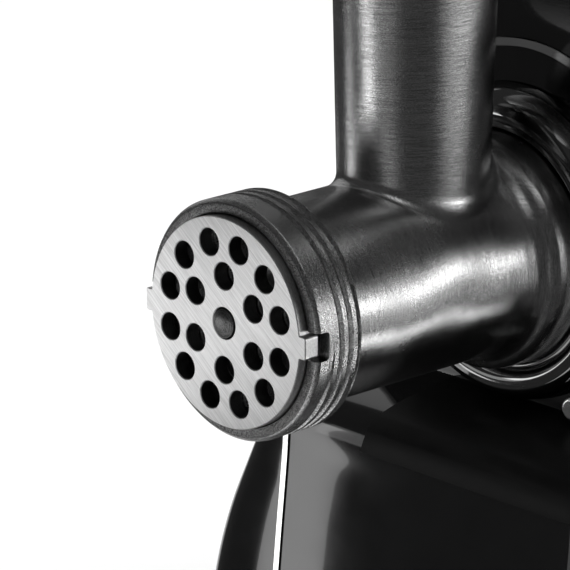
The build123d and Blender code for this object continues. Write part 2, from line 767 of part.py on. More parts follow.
# ================================================================ controls
control_places = (("start", -BUTTON_X), ("reverse", BUTTON_X))
for control, place in control_places:
    with BuildPart() as button:
        with BuildSketch(front_plane(BUTTON_FRONT, BUTTON_Z, place)):
            Circle(BUTTON_R)
        extrude(amount=-9)
        fillet(button.faces().sort_by(Axis.Y)[0].edges(), radius=1.2)
        with BuildSketch(front_plane(BUTTON_FRONT + 9, BUTTON_Z, place)):
            Circle(BUTTON_R + 1.0)
        extrude(amount=-1.5)
        with BuildSketch(front_plane(BUTTON_FRONT + 10.5, BUTTON_Z, place)):
            Circle(2.5)
        extrude(amount=-11)
    save(button, f"{control}_button")
    with BuildPart() as bezel:
        with BuildSketch(front_plane(BUTTON_FRONT + 1.4, BUTTON_Z, place)):
            Circle(BUTTON_R + 1.5)
            Circle(BUTTON_R + 0.35, mode=Mode.SUBTRACT)
        extrude(amount=-7.0)
    save(bezel, f"{control}_bezel")
    save_coil(f"{control}_spring", BUTTON_FRONT + 11.0, 3.6, 4.8, BUTTON_Z, place)
    with BuildPart() as switch:
        with BuildSketch(front_plane(BUTTON_FRONT + 18, BUTTON_Z, place)):
            Rectangle(16, 22)
            Circle(3.0, mode=Mode.SUBTRACT)
        extrude(amount=-8)
        with BuildSketch(front_plane(BUTTON_FRONT + 26, BUTTON_Z, place)):
            Rectangle(16, 22)
        extrude(amount=-8)
    save(switch, f"{control}_switch")

with BuildPart() as switch_board:
    with Locations((0, BUTTON_FRONT + 35, BUTTON_Z)):
        Box(92, 1.6, 52)
save(switch_board, "switch_board")

with BuildPart() as board_posts:
    with BuildSketch(front_plane(BUTTON_FRONT + 7.5, BUTTON_Z)):
        with GridLocations(82, 42, 2, 2):
            Circle(3.2)
    extrude(amount=-26.7)
    add(inner_form, mode=Mode.INTERSECT)
save(board_posts, "board_posts")

with BuildPart() as release_button:
    with BuildSketch(front_plane(RIM + 108.6, RELEASE_Z, RELEASE_X)):
        Circle(RELEASE_R)
    extrude(amount=-13)
    fillet(release_button.faces().sort_by(Axis.Y)[0].edges(), radius=1.2)
    with BuildSketch(front_plane(RIM + 121.6, RELEASE_Z, RELEASE_X)):
        Circle(RELEASE_R + 0.8)
    extrude(amount=-1.2)
save(release_button, "release_button")

with BuildPart() as release_bezel:
    with BuildSketch(front_plane(RIM + 113.6, RELEASE_Z, RELEASE_X)):
        Circle(RELEASE_R + 0.95)
        Circle(RELEASE_R + 0.3, mode=Mode.SUBTRACT)
    extrude(amount=-7.2)
save(release_bezel, "release_bezel")

save_coil("release_spring", RIM + 123.3, 6.0, 3.6, RELEASE_Z, RELEASE_X)

with BuildPart() as cord_gland:
    with BuildSketch(front_plane(BACK + 0.4)):
        with Locations((42, -160)):
            Circle(7.2)
    extrude(amount=14)
    with BuildSketch(front_plane(BACK - 9)):
        with Locations((42, -160)):
            Circle(11)
    extrude(amount=3)
    with BuildSketch(front_plane(BACK + 1)):
        with Locations((42, -160)):
            Circle(3.6)
    extrude(amount=20, mode=Mode.SUBTRACT)
save(cord_gland, "cord_gland")

# ================================================================ tray and pusher
TRAY_Y = RIM + 88.0
TRAY_HIGH = 26.0
throat = (17.5, 22.0)
with BuildPart() as hopper_tray:
    add(oval_loft(TUBE_TOP, TUBE_TOP + TRAY_HIGH, (54, 76), (63, 85), TRAY_Y))
    with BuildSketch(Plane((0, TRAY_Y, TUBE_TOP + TRAY_HIGH - 1.6))):
        Ellipse(66, 88)
    extrude(amount=1.6)
    fillet(hopper_tray.faces().sort_by(Axis.Z)[0].edges(), radius=7)
    hollow = oval_loft(TUBE_TOP + 1.6, TUBE_TOP + TRAY_HIGH + 1, (52.6, 74.6), (61.9, 83.9), TRAY_Y)
    add(hollow, mode=Mode.SUBTRACT)
    with BuildSketch(Plane((0, TUBE_Y, TUBE_TOP - 9))):
        Ellipse(18.8, 23.3)
    extrude(amount=10)
    with BuildSketch(Plane((0, TUBE_Y, TUBE_TOP - 10))):
        Ellipse(*throat)
    extrude(amount=20, mode=Mode.SUBTRACT)
save(hopper_tray, "hopper_tray")

PUSHER_END = AXIS_Z + 62.0
PUSHER_TOP = AXIS_Z + 160.0
with BuildPart() as pusher:
    with BuildSketch(Plane((0, TUBE_Y, PUSHER_END))):
        Ellipse(16.9, 21.4)
    extrude(amount=TUBE_TOP + 2 - PUSHER_END)
    with BuildSketch(Plane((0, TUBE_Y, TUBE_TOP + 2.0))):
        Ellipse(24, 29)
    extrude(amount=3)
    add(oval_loft(TUBE_TOP + 5, PUSHER_TOP, (15, 19.5), (20, 25), TUBE_Y))
    fillet(pusher.faces().sort_by(Axis.Z)[-1].edges(), radius=4)
    add(oval_loft(PUSHER_END - 1, PUSHER_TOP - 6, (14.2, 18.7), (12.4, 16.9), TUBE_Y), mode=Mode.SUBTRACT)
save(pusher, "pusher")
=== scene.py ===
import json
from math import acos, asin, cos, pi, radians, sin, sqrt, tan

import bmesh
import bpy
import numpy as np
from mathutils import Matrix, Vector


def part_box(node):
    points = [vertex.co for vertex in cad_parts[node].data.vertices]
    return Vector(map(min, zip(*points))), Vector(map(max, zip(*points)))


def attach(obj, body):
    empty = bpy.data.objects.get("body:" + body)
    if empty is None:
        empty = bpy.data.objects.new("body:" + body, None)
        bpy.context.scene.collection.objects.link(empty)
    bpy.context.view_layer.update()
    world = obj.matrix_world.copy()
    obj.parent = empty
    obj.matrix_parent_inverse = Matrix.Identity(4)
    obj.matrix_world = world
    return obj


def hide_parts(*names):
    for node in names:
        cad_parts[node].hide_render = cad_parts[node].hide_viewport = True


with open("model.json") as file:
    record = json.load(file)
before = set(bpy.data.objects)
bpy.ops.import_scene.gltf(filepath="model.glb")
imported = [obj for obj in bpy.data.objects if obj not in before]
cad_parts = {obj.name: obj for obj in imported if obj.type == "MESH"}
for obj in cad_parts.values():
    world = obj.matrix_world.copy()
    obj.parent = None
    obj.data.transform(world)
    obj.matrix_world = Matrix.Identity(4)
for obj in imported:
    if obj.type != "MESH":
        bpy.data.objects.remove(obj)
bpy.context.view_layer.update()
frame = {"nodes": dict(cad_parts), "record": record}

MM = 0.001

# ---------------------------------------------------------------- places read from the frame
head_low, head_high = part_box("grinding_head")
plate_low, plate_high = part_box("hole_plate")
RIM = head_low.y  # front rim of the barrel; depths below are mm behind it
AXIS = (plate_low.z + plate_high.z) / 2
SPIGOT_END = (head_high.y - RIM) / MM
TUBE_TOP = (head_high.z - AXIS) / MM
PLATE_R = (plate_high.z - plate_low.z) / 2 / MM
PLATE_FRONT = (plate_low.y - RIM) / MM
PLATE_THICK = (plate_high.y - plate_low.y) / MM
LUG_REACH = (plate_high.x - plate_low.x) / 2 / MM

# ---------------------------------------------------------------- driving sizes, mm
LAND_R = 35.4
BORE_R = 26.6
SEAT_R = 29.2  # step that the plate sits against
BARREL_R = 30.3
SPIGOT_R = 36.2
THREAD_PITCH = 3.6
THREAD_START = 5.6
THREAD_TURNS = 3.0
GROOVE_HALF = 0.98
GROOVE_DEEP = 1.25
TUBE_Y = 73.0
TUBE_HALF_X = 19.65
TUBE_HALF_Y = 24.15
TUBE_DRAFT = 0.0244
TUBE_WALL = 3.0
JUNCTION_R = 3.0
SLOT_WIDE = 8.4
SLOT_DEEP = 4.5
SLOT_CORNER = 1.3
LUG_WIDE = 6.7
HOLE_R = 4.0
PANEL_HALF = 59.6
TRIM_GAP = 0.2
TRIM_WIDE = 2.2
TRIM_PROUD = 0.6
SKIN = 3.0
SEAM = 262.0
BODY_BASE = 7.0


def place(points):
    """Points in mm from the middle of the barrel's rim, moved into the frame, in metres."""
    return np.asarray(points, float) * MM + np.array([0.0, RIM, AXIS])


# ================================================================ node materials
class Paint:
    """A procedural material with a Principled shader; object coordinates in metres."""

    def __init__(self, name, **constants):
        self.mat = bpy.data.materials.new(name)
        self.mat.use_nodes = True
        self.tree = self.mat.node_tree
        self.shader = self.tree.nodes["Principled BSDF"]
        self.coords = self.tree.nodes.new("ShaderNodeTexCoord").outputs["Object"]
        for socket, value in constants.items():
            self.shader.inputs[socket.replace("_", " ")].default_value = value

    def node(self, kind, links=(), values=(), **props):
        made = self.tree.nodes.new("ShaderNode" + kind)
        for key, value in props.items():
            setattr(made, key, value)
        for socket, value in dict(values).items():
            made.inputs[socket].default_value = value
        for socket, source in dict(links).items():
            self.tree.links.new(source, made.inputs[socket])
        return made

    def stretched(self, scale, turn=(0, 0, 0), shift=(0, 0, 0)):
        """Object coordinates turned, then scaled, so that noise can run along one direction."""
        turned = self.node("Mapping", {"Vector": self.coords}, {"Rotation": turn, "Location": shift})
        return self.node("Mapping", {"Vector": turned.outputs[0]}, {"Scale": scale}).outputs[0]

    def noise(self, vector, scale=1.0, detail=3.0, rough=0.55):
        values = {"Scale": scale, "Detail": detail, "Roughness": rough}
        return self.node("TexNoise", {"Vector": vector}, values).outputs["Fac"]

    def span(self, source, low, high, start=0.3, end=0.7):
        """Maps a 0-1 source onto low-high."""
        values = {"From Min": start, "From Max": end, "To Min": low, "To Max": high}
        return self.node("MapRange", {"Value": source}, values, clamp=True).outputs[0]

    def math(self, operation, a, b):
        made = self.node("Math", operation=operation)
        for i, value in enumerate((a, b)):
            if isinstance(value, (int, float)):
                made.inputs[i].default_value = value
            else:
                self.tree.links.new(value, made.inputs[i])
        return made.outputs[0]

    def tones(self, source, dark, light, start=0.3, end=0.7):
        ramp = self.node("ValToRGB", {"Fac": source})
        ramp.color_ramp.elements[0].position = start
        ramp.color_ramp.elements[1].position = end
        ramp.color_ramp.elements[0].color = (*dark, 1)
        ramp.color_ramp.elements[1].color = (*light, 1)
        return ramp.outputs[0]

    def feed(self, socket, source):
        self.tree.links.new(source, self.shader.inputs[socket])
        return self

    def bumps(self, *layers):
        """Stacks bump layers of (height source, strength, distance in metres)."""
        normal = None
        for height, strength, distance in layers:
            links = {"Height": height}
            if normal is not None:
                links["Normal"] = normal
            values = {"Strength": strength, "Distance": distance}
            normal = self.node("Bump", links, values).outputs[0]
        return self.feed("Normal", normal)


def grey(value, tint=0.0):
    return (value - tint, value, value + tint)


def cast_turned(
    name, tone, rough, ring_bump, grain_bump, across=(200, 4600, 200), contrast=0.3, wave=0.0, grainy=0.55
):
    """Cast metal finished on a lathe: short rings and a fine grain, with a smooth swell underneath."""
    paint = Paint(name, Metallic=1.0, Anisotropic=0.3)
    rings = paint.noise(paint.stretched(across), 1.0, 4.0, 0.6)
    grain = paint.noise(paint.coords, 2900.0, 3.0, 0.7)
    blotch = paint.noise(paint.coords, 55.0, 4.0, 0.55)
    swell = paint.noise(paint.stretched((44, 30, 26), (0.5, 0.2, 0.3)), 1.0, 0.6, 0.4)
    speck = paint.node("TexVoronoi", {"Vector": paint.coords}, {"Scale": 1500.0}).outputs["Distance"]
    mix = paint.math("ADD", paint.math("MULTIPLY", rings, 1 - grainy), paint.math("MULTIPLY", grain, grainy))
    dark, light = grey(tone * (1 - contrast)), grey(min(1, tone * (1 + contrast * 0.8)))
    colour = paint.tones(mix, dark, light, 0.38, 0.62)
    paint.feed("Base Color", colour)
    paint.feed("Roughness", paint.span(blotch, rough * 0.78, rough * 1.28))
    layers = [(rings, ring_bump, 0.00004), (grain, grain_bump, 0.00008), (speck, grain_bump * 0.3, 0.00003)]
    if wave:
        layers.insert(0, (swell, wave, 0.0034))
    return paint.bumps(*layers)


def brushed(name, tone, rough, direction, bump=0.22, fine=2600.0, along=38.0, metallic=1.0):
    """Metal brushed along one direction given as Euler turns; strokes lie along local X after the turn."""
    paint = Paint(name, Metallic=metallic)
    long_strokes = paint.noise(paint.stretched((along, fine, fine), direction), 1.0, 4.0, 0.65)
    short_scale = (along * 5, fine * 1.7, fine * 1.7)
    short_strokes = paint.noise(paint.stretched(short_scale, direction, (0.3, 0.1, 0.2)), 1.0, 2.0)
    cloud = paint.noise(paint.coords, 60.0, 3.0)
    heavy = paint.math("MULTIPLY", long_strokes, 0.65)
    light = paint.math("MULTIPLY", short_strokes, 0.35)
    strokes = paint.math("ADD", heavy, light)
    paint.feed("Base Color", paint.tones(strokes, grey(tone * 0.74), grey(min(1, tone * 1.12)), 0.36, 0.62))
    spread = paint.math("ADD", paint.math("MULTIPLY", strokes, 0.5), paint.math("MULTIPLY", cloud, 0.5))
    paint.feed("Roughness", paint.span(spread, rough * 0.82, rough * 1.2))
    return paint.bumps((strokes, bump, 0.00005))


def polished(name, tone, rough, grain=0.05):
    """Chrome with a slight orange peel and faint dust."""
    paint = Paint(name, Metallic=1.0)
    peel = paint.noise(paint.coords, 420.0, 2.0)
    haze = paint.noise(paint.coords, 90.0, 4.0)
    paint.feed("Base Color", paint.tones(haze, grey(tone * 0.93), grey(min(1, tone * 1.05))))
    paint.feed("Roughness", paint.span(haze, rough * 0.7, rough * 1.4))
    return paint.bumps((peel, grain, 0.00003))


def moulded(name, colour, rough, grain_scale, grain, coat=0.0, peel=0.0, metallic=0.0):
    """Moulded plastic or rubber: fine texture, faint mottling and, if wanted, a gloss coat."""
    paint = Paint(name, Metallic=metallic, Coat_Weight=coat, Coat_Roughness=0.02)
    texture = paint.noise(paint.coords, grain_scale, 3.0, 0.6)
    mottle = paint.noise(paint.coords, 70.0, 4.0)
    wave = paint.noise(paint.coords, 160.0, 2.0)
    dark = tuple(c * 0.8 for c in colour)
    light = tuple(min(1.0, c * 1.22) for c in colour)
    paint.feed("Base Color", paint.tones(mottle, dark, light))
    paint.feed("Roughness", paint.span(mottle, rough * 0.8, rough * 1.25))
    return paint.bumps((texture, grain, 0.00006), (wave, peel, 0.00005))


def layered(name, tone, rough, pitch):
    """Stacked sheet metal: thin dark lines at a fixed pitch along Y."""
    paint = Paint(name, Metallic=0.9)
    vector = paint.stretched((0.0, 1.0 / pitch, 0.0))
    wave_values = {"Scale": 0.05, "Distortion": 0.2}
    lines = paint.node("TexWave", {"Vector": vector}, wave_values, bands_direction="Y").outputs["Fac"]
    grain = paint.noise(paint.coords, 900.0, 3.0)
    paint.feed("Base Color", paint.tones(lines, grey(tone * 0.4), grey(tone), 0.1, 0.5))
    paint.feed("Roughness", paint.span(grain, rough * 0.8, rough * 1.2))
    return paint.bumps((lines, 0.5, 0.0001), (grain, 0.2, 0.00005))


STROKE_TURN = (0.0, radians(-38.0), 0.0)
paints = {
    "cast_alloy": cast_turned(
        "cast_alloy_turned", 0.49, 0.225, 0.22, 0.38, contrast=0.46, wave=1.0, grainy=0.6
    ),
    "cast_tube": cast_turned(
        "cast_alloy_tube", 0.48, 0.22, 0.3, 0.5, (150, 150, 4600), contrast=0.46, wave=0.35
    ),
    # lighter tone than the barrel: a painted highlight on the thread's crests; the strong speckle is the
    # metal's own grain
    "cast_thread_lit": cast_turned("cast_alloy_thread_painted_highlight", 0.52, 0.24, 0.3, 0.8, contrast=0.7, grainy=0.8),
    # darker copy of the cast alloy: painted shade on the rim face and the recess wall round the plate; the
    # coarse grain is the metal's own
    "cast_face_shaded": cast_turned("cast_alloy_rim_painted_shade", 0.2, 0.4, 0.1, 1.0, (1400, 1400, 1400), 0.95, grainy=0.9),
    # near-black copy of the cast metal: painted shade inside the plate's holes
    "hole_walls_shaded": cast_turned("plate_hole_walls_painted_shade", 0.12, 0.5, 0.2, 0.3),
    "plate_steel": brushed("plate_steel_brushed", 0.86, 0.33, STROKE_TURN, 0.3, 2300.0, 30.0),
    "blade_steel": brushed("blade_steel_ground", 0.72, 0.26, (0, radians(20), 0), 0.15),
    "stub_steel": cast_turned("stub_steel_turned", 0.15, 0.3, 0.4, 0.8, contrast=0.8),
    "screw_alloy": cast_turned("screw_alloy_cast", 0.6, 0.38, 0.15, 0.5),
    "nylon": moulded("nylon_moulded", (0.78, 0.78, 0.74), 0.42, 1400, 0.12),
    "dark_chrome": polished("dark_chrome_mirror", 0.25, 0.07),
    "bright_trim": polished("bright_trim_polished", 0.8, 0.09),
    "black_gloss": moulded("black_gloss_shell", (0.0035, 0.0035, 0.0036), 0.08, 260, 0.012, 0.6, 0.03),
    "black_satin": moulded("black_satin_moulded", (0.02, 0.02, 0.021), 0.38, 2600, 0.35),
    "foot_rubber": moulded("foot_rubber_matt", (0.025, 0.025, 0.025), 0.7, 1800, 0.5),
    "gear_steel": brushed("gear_steel_oiled", 0.45, 0.28, (0, 0, radians(90)), 0.2),
    "gear_alloy": cast_turned("gear_alloy_rough", 0.5, 0.5, 0.1, 0.9, (700, 700, 700)),
    "bronze": moulded("bronze_sintered", (0.5, 0.3, 0.12), 0.45, 2600, 0.5, metallic=1.0),
    "lamination": layered("lamination_stack", 0.3, 0.45, 0.0007),
    "copper": brushed("copper_winding", 0.5, 0.35, (0, 0, radians(90)), 0.9, 1500.0, 20.0),
    "carbon": moulded("carbon_pressed", (0.04, 0.04, 0.042), 0.6, 3000, 0.5),
    "board": moulded("board_coated", (0.02, 0.09, 0.045), 0.3, 900, 0.1),
    "spring_wire": brushed("spring_wire_drawn", 0.58, 0.25, (0, 0, radians(90)), 0.15),
    "tray_metal": brushed("tray_metal_brushed", 0.72, 0.27, (0, 0, 0), 0.18, 2200.0, 24.0),
    "pusher_plastic": moulded("pusher_plastic_satin", (0.028, 0.028, 0.03), 0.34, 2100, 0.3),
    "screw_zinc": polished("screw_zinc_plated", 0.6, 0.25, 0.2),
}
copper = paints["copper"]
copper_tone = copper.noise(copper.coords, 700.0, 3.0)
copper.feed("Base Color", copper.tones(copper_tone, (0.42, 0.16, 0.07), (0.68, 0.3, 0.15)))


# ================================================================ mesh helpers
def piece(name, verts, faces, paint, sharp=35.0):
    """Mesh object from points in mm about the rim's middle."""
    mesh = bpy.data.meshes.new(name)
    mesh.from_pydata(place(verts).tolist(), [], [list(map(int, f)) for f in faces])
    return dress(name, mesh, paint, sharp)


def dress(name, mesh, paint, sharp=35.0):
    mesh.validate()
    made = bmesh.new()
    made.from_mesh(mesh)
    bmesh.ops.recalc_face_normals(made, faces=made.faces)
    made.to_mesh(mesh)
    made.free()
    mesh.polygons.foreach_set("use_smooth", [True] * len(mesh.polygons))
    mesh.set_sharp_from_angle(angle=radians(sharp))
    mesh.materials.clear()
    mesh.materials.append(paint.mat)
    made = bpy.data.objects.new(name, mesh)
    bpy.context.scene.collection.objects.link(made)
    return made


def grid_faces(rows, columns, wrap_rows=False, wrap_columns=True):
    faces = []
    last_row = rows if wrap_rows else rows - 1
    last_column = columns if wrap_columns else columns - 1
    for i in range(last_row):
        for j in range(last_column):
            k, m = (i + 1) % rows, (j + 1) % columns
            faces.append((i * columns + j, i * columns + m, k * columns + m, k * columns + j))
    return faces


def rounded(corners, steps=6):
    """Closed outline of (a, b, radius) corners with each corner rounded to its radius."""
    out = []
    count = len(corners)
    for i, (a, b, radius) in enumerate(corners):
        here = np.array([a, b])
        back = np.array(corners[i - 1][:2]) - here
        ahead = np.array(corners[(i + 1) % count][:2]) - here
        back_long, ahead_long = np.linalg.norm(back), np.linalg.norm(ahead)
        back, ahead = back / back_long, ahead / ahead_long
        turn = pi - acos(max(-1.0, min(1.0, float(back @ ahead))))
        if radius <= 0 or turn < 0.02:
            out.append(here)
            continue
        cut = min(radius * tan(turn / 2), back_long * 0.49, ahead_long * 0.49)
        start, end = here + back * cut, here + ahead * cut
        for t in np.linspace(0, 1, steps + 1):
            out.append((1 - t) ** 2 * start + 2 * t * (1 - t) * here + t * t * end)
    return np.array(out)


def lathe(name, outline, paint, segments=256, x=0.0, z=0.0, sharp=35.0):
    """Closed (depth, radius) outline turned about an axis along Y."""
    outline = np.asarray(outline, float)
    turns = np.linspace(0, 2 * pi, segments, endpoint=False)
    depth, radius = outline[:, 0], np.maximum(outline[:, 1], 0.0)
    verts = np.empty((len(outline), segments, 3))
    verts[..., 0] = x + radius[:, None] * np.sin(turns)
    verts[..., 1] = depth[:, None]
    verts[..., 2] = z + radius[:, None] * np.cos(turns)
    made = piece(name, verts.reshape(-1, 3), grid_faces(len(outline), segments, True), paint, sharp)
    weld(made)
    return made


def weld(made, distance=1e-6):
    work = bmesh.new()
    work.from_mesh(made.data)
    bmesh.ops.remove_doubles(work, verts=work.verts, dist=distance)
    bmesh.ops.dissolve_degenerate(work, dist=distance, edges=work.edges)
    work.to_mesh(made.data)
    work.free()


def applied(made, sharp=35.0):
    """Replaces an object's mesh by what its modifiers give."""
    bpy.context.view_layer.update()
    graph = bpy.context.evaluated_depsgraph_get()
    mesh = bpy.data.meshes.new_from_object(made.evaluated_get(graph))
    made.modifiers.clear()
    made.data = mesh
    mesh.polygons.foreach_set("use_smooth", [True] * len(mesh.polygons))
    mesh.set_sharp_from_angle(angle=radians(sharp))
    return made


def boolean(made, operation, *cutters, keep=False):
    for cutter in cutters:
        step = made.modifiers.new("cut", "BOOLEAN")
        step.operation = operation
        step.solver = "EXACT"
        step.object = cutter
    applied(made)
    if not keep:
        for cutter in cutters:
            bpy.data.objects.remove(cutter)
    return made


def prism(name, outline, front, back):
    """Solid between two depths from an (x, height) outline, for cutting."""
    outline = np.asarray(outline, float)
    count = len(outline)
    verts = [(x, front, z) for x, z in outline] + [(x, back, z) for x, z in outline]
    faces = [tuple(range(count)), tuple(range(2 * count - 1, count - 1, -1))]
    faces += [(i, i + count, (i + 1) % count + count, (i + 1) % count) for i in range(count)]
    return piece(name, verts, faces, paints["black_satin"])


def ring_of(radius, count=96, x=0.0, z=0.0):
    turns = np.linspace(0, 2 * pi, count, endpoint=False)
    return np.stack([x + radius * np.cos(turns), z + radius * np.sin(turns)], 1)


def block(name, low, high):
    x0, y0, z0 = low
    x1, y1, z1 = high
    return prism(name, [(x0, z0), (x1, z0), (x1, z1), (x0, z1)], y0, y1)


# ================================================================ grinding head
barrel_depth = np.array([17.4, 18.2, 60, 86, 89.5, 93.5, 95.6, 97.0, 98.6, 101.0, 106, 127])
barrel_radius = np.array([30.3, 30.3, 30.52, 30.7, 30.95, 31.8, 33.0, 34.6, 35.8, 36.2, 36.2, 36.2])


def casting(p):
    """Signed distance to the head behind its thread, in mm: barrel, feed tube, hollow inside."""
    x, y, z = p[..., 0], p[..., 1], p[..., 2]
    r = np.hypot(x, z)
    barrel = (r - np.interp(y, barrel_depth, barrel_radius)) * 0.9
    grow = TUBE_DRAFT * z
    ovals = []
    for wall in (0.0, TUBE_WALL):
        a, b = TUBE_HALF_X + grow - wall, TUBE_HALF_Y + grow - wall
        unit = np.hypot(x / a, (y - TUBE_Y) / b)
        slope = np.hypot(x / a**2, (y - TUBE_Y) / b**2)
        ovals.append(unit * (unit - 1) / np.maximum(slope, 1e-4))
    tube = np.maximum(ovals[0], -z)
    u, v = np.maximum(JUNCTION_R - barrel, 0), np.maximum(JUNCTION_R - tube, 0)
    solid = np.maximum(JUNCTION_R, np.minimum(barrel, tube)) - np.hypot(u, v)
    lugs = np.maximum(np.maximum(r - 38.6, np.abs(y - 122.5) - 2.5), np.abs(z) - 8)  # bayonet lugs
    solid = np.minimum(solid, lugs)
    solid = np.maximum(solid, np.maximum(17.9 - y, y - SPIGOT_END))
    solid = np.maximum(solid, z - TUBE_TOP)
    hollow = np.maximum(r - BORE_R, y - 110.0)
    hollow = np.minimum(hollow, np.maximum(r - 11.6, y - 118.5))
    hollow = np.minimum(hollow, np.maximum(r - 32.0, 118.0 - y))
    hollow = np.minimum(hollow, np.maximum(ovals[1], -z))
    return np.maximum(solid, -hollow)


def surface_net(field, low, high, step):
    """Quads round every cell face where the field changes sign, with points drawn onto the surface."""
    axes = [np.arange(a, b + step, step) for a, b in zip(low, high)]
    grid = np.stack(np.meshgrid(*axes, indexing="ij"), -1)
    value = field(grid)
    inside = value < 0
    shape = np.array(value.shape) - 1
    total, count = np.zeros((*shape, 3)), np.zeros(shape)
    corners = [(i, j, k) for i in (0, 1) for j in (0, 1) for k in (0, 1)]

    def part(array, corner):
        i, j, k = corner
        return array[i:i + shape[0], j:j + shape[1], k:k + shape[2]]

    for a in corners:
        for axis in range(3):
            if a[axis]:
                continue
            b = tuple(1 if n == axis else a[n] for n in range(3))
            va, vb = part(value, a), part(value, b)
            cross = (va < 0) != (vb < 0)
            t = np.where(cross, va / np.where(cross, va - vb, 1), 0)
            point = part(grid, a) + t[..., None] * (part(grid, b) - part(grid, a))
            total[cross] += point[cross]
            count += cross
    cells = count > 0
    index = -np.ones(shape, int)
    index[cells] = np.arange(cells.sum())
    points = total[cells] / count[cells][:, None]
    for _ in range(4):
        value_here = field(points)
        slope = np.stack([field(points + d) - field(points - d) for d in np.eye(3) * 0.05], -1) / 0.1
        length = np.maximum((slope**2).sum(-1), 0.05)
        points -= np.clip(value_here / length, -step, step)[:, None] * slope * 0.8
    faces = []
    for axis in range(3):
        u, v = (axis + 1) % 3, (axis + 2) % 3
        near = [slice(None)] * 3
        far = [slice(None)] * 3
        near[axis], far[axis] = slice(0, -1), slice(1, None)
        cross = inside[tuple(near)] != inside[tuple(far)]
        at = np.argwhere(cross)
        within = (at[:, u] > 0) & (at[:, v] > 0) & (at[:, u] < shape[u]) & (at[:, v] < shape[v])
        outward = ~inside[tuple(near)][cross][within]
        at = at[within]
        quads = []
        for du, dv in ((-1, -1), (0, -1), (0, 0), (-1, 0)):
            cell = at.copy()
            cell[:, u] += du
            cell[:, v] += dv
            quads.append(index[cell[:, 0], cell[:, 1], cell[:, 2]])
        quads = np.stack(quads, 1)
        quads[outward] = quads[outward][:, ::-1]
        faces.append(quads)
    return points, np.concatenate(faces)


NET_LOW = (-39.6, 15.4, -38.2)
NET_HIGH = (39.6, 128.6, TUBE_TOP + 1.4)
NET_STEP = 0.85
points, faces = surface_net(casting, NET_LOW, NET_HIGH, NET_STEP)
head_casting = piece("head_casting", points, faces, paints["cast_alloy"], 40.0)
head_casting.data.materials.append(paints["cast_tube"].mat)
for face in head_casting.data.polygons:
    x, y, z = (face.center - Vector((0, RIM, AXIS))) / MM
    if z > 15 and sqrt(x * x + z * z) > 31.8 and y < 98.5:  # feed tube above the barrel's skin
        face.material_index = 1
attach(head_casting, "machine")
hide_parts("grinding_head")


def thread_depth(turn, depth):
    """How deep the thread's groove is at an angle and a depth from the rim."""
    along = (depth - THREAD_START) / THREAD_PITCH - turn / (2 * pi)
    nearest = np.round(along)
    offset = np.abs(along - nearest) * THREAD_PITCH
    total = nearest + turn / (2 * pi)
    fade = np.clip(total / 0.12, 0, 1) * np.clip((THREAD_TURNS + 0.1 - total) / 0.12, 0, 1)
    wall = np.clip((GROOVE_HALF - offset) / 0.5, 0, 1)
    return GROOVE_DEEP * fade * wall


TURNS = 900
front_outline = [(19.0, BORE_R), (13.0, BORE_R), (11.0, SEAT_R), (6.0, SEAT_R)]
front_outline += [(6.0, PLATE_R + 0.3), (0.35, PLATE_R + 0.3)]
front_outline += [(0.1, PLATE_R + 0.42), (0.0, PLATE_R + 0.7), (0.0, 33.95), (0.08, 34.25)]
front_outline += [(1.0, 35.2), (1.25, 35.36)]
threaded = np.arange(1.5, 16.7, 0.11)
rear_outline = [(16.85, 35.38), (17.05, 35.2), (17.7, 34.3), (17.95, 33.9)]
rear_outline += [(18.15, BARREL_R + 0.3), (18.4, BARREL_R), (19.0, BARREL_R)]
turns = np.linspace(0, 2 * pi, TURNS, endpoint=False)
rows = [np.stack([np.full(TURNS, d), np.full(TURNS, r)], 1) for d, r in front_outline]
for depth in threaded:
    cut = thread_depth((turns - pi / 2) % (2 * pi), depth)
    rows.append(np.stack([np.full(TURNS, depth), LAND_R - cut], 1))
rows += [np.stack([np.full(TURNS, d), np.full(TURNS, r)], 1) for d, r in rear_outline]
rows = np.array(rows)
verts = np.empty((len(rows), TURNS, 3))
verts[..., 0] = rows[..., 1] * np.sin(turns)
verts[..., 1] = rows[..., 0]
verts[..., 2] = rows[..., 1] * np.cos(turns)
front_faces = grid_faces(len(rows), TURNS, True)
# front ring in the lighter copy of the cast alloy, which paints a highlight on the thread
head_front = piece("head_front", verts.reshape(-1, 3), front_faces, paints["cast_thread_lit"], 32.0)
slot_cutters = []
for side in (-1, 1):
    half = SLOT_WIDE / 2
    corners = [(-2.0, -half, 0), (SLOT_DEEP, -half, SLOT_CORNER)]
    corners += [(SLOT_DEEP, half, SLOT_CORNER), (-2.0, half, 0)]
    outline = rounded(corners, 8)
    near, far = side * 29.9, side * 40.0  # through the rim's wall, with room on both sides
    count = len(outline)
    points = [(near, y, z) for y, z in outline] + [(far, y, z) for y, z in outline]
    faces = [tuple(range(count)), tuple(range(2 * count - 1, count - 1, -1))]
    faces += [(i, i + count, (i + 1) % count + count, (i + 1) % count) for i in range(count)]
    slot_cutters.append(piece(f"slot_cutter_{side + 1}", points, faces, paints["cast_alloy"]))
boolean(head_front, "DIFFERENCE", *slot_cutters)
head_front.data.materials.append(paints["cast_face_shaded"].mat)
for face in head_front.data.polygons:
    x, y, z = (face.center - Vector((0, RIM, AXIS))) / MM
    if y < 0.12 or (y < 6.1 and sqrt(x * x + z * z) < 31.7):  # rim face and the recessed wall round the plate, in the darker painted-shade copy of the cast alloy
        face.material_index = 1
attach(head_front, "machine")
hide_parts("grinding_head")


